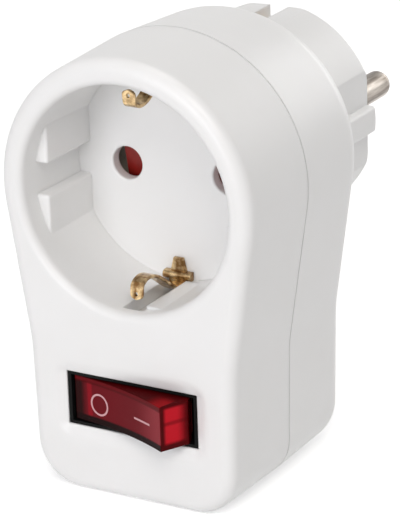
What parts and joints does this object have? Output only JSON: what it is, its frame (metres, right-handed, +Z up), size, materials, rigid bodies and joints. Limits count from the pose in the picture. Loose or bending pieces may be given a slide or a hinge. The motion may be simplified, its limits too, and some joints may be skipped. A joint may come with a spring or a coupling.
{
  "type": "switched socket adapter",
  "caption": "Plug-through adapter: an earthed two-pin socket over a lit rocker switch, with a round two-pin plug on its back.",
  "frame": {"origin": "centre between the two plug pins, on the plug's flat end face", "axes": "+Y out along the plug pins, away from the socket; +Z up, away from the switch; +X to the right as the socket is faced"},
  "size_m": [0.0476, 0.0765, 0.0762],
  "materials": {
    "white_abs": "fine satin moulding",
    "red_clear_plastic": "polished, see-through tint",
    "black_plastic": "satin moulding",
    "shutter_plastic": "moulded",
    "carrier_plastic": "moulded",
    "brass": "rolled strip",
    "nickel": "nickel plated",
    "silver": "silver rivet",
    "zinc_steel": "zinc plated",
    "spring_steel": "drawn wire",
    "lamp_glass": "clear",
    "brown_pvc": "extruded",
    "blue_pvc": "extruded"
  },
  "bodies": {
    "housing": {"front_shell": "white_abs", "back_shell": "white_abs", "centre_screw": "zinc_steel", "base_screws": "zinc_steel", "plug_pin_live": "nickel", "plug_pin_neutral": "nickel", "contact_carrier": "carrier_plastic", "socket_contact_neutral": "brass", "socket_contact_live": "brass", "live_lug": "brass", "earth_clip_top": "brass", "earth_clip_bottom": "brass", "earth_bridge": "brass", "earth_rivets": "brass", "shutter_spring": "spring_steel", "switch_body": "black_plastic", "switch_terminal_common": "brass", "switch_terminal_load": "brass", "load_tip": "silver", "switch_terminal_lamp": "brass", "live_in_wire": "brown_pvc", "live_out_wire": "brown_pvc", "lamp_wire": "blue_pvc"},
    "rocker": {"rocker": "red_clear_plastic", "rocker_plunger": "carrier_plastic", "rocker_spring": "spring_steel", "neon_lamp": "lamp_glass", "lamp_resistor": "carrier_plastic"},
    "lever": {"contact_lever": "brass", "lever_tip": "silver"},
    "shutter": {"shutter": "shutter_plastic"}
  },
  "joints": [
    {"name": "rocker_tilt", "type": "hinge", "parent": "housing", "child": "rocker", "pos_m": [0, -0.0498, -0.0369], "axis": [0, 0, 1], "range_deg": [0, 33]},
    {"name": "lever_tilt", "type": "hinge", "parent": "housing", "child": "lever", "pos_m": [0, -0.0418, -0.0369], "axis": [0, 0, 1], "range_deg": [-16, 0]},
    {"name": "shutter_turn", "type": "hinge", "parent": "housing", "child": "shutter", "pos_m": [0, -0.0321, -0.0011], "axis": [0, 1, 0], "range_deg": [0, 38], "stiffness_Nm_per_rad": 0.003, "springref_deg": -20.05, "deforming": ["shutter_spring"]}
  ],
  "couplings": [
    {"joint": "lever_tilt", "follows": "rocker_tilt", "ratio": -0.48484}
  ]
}
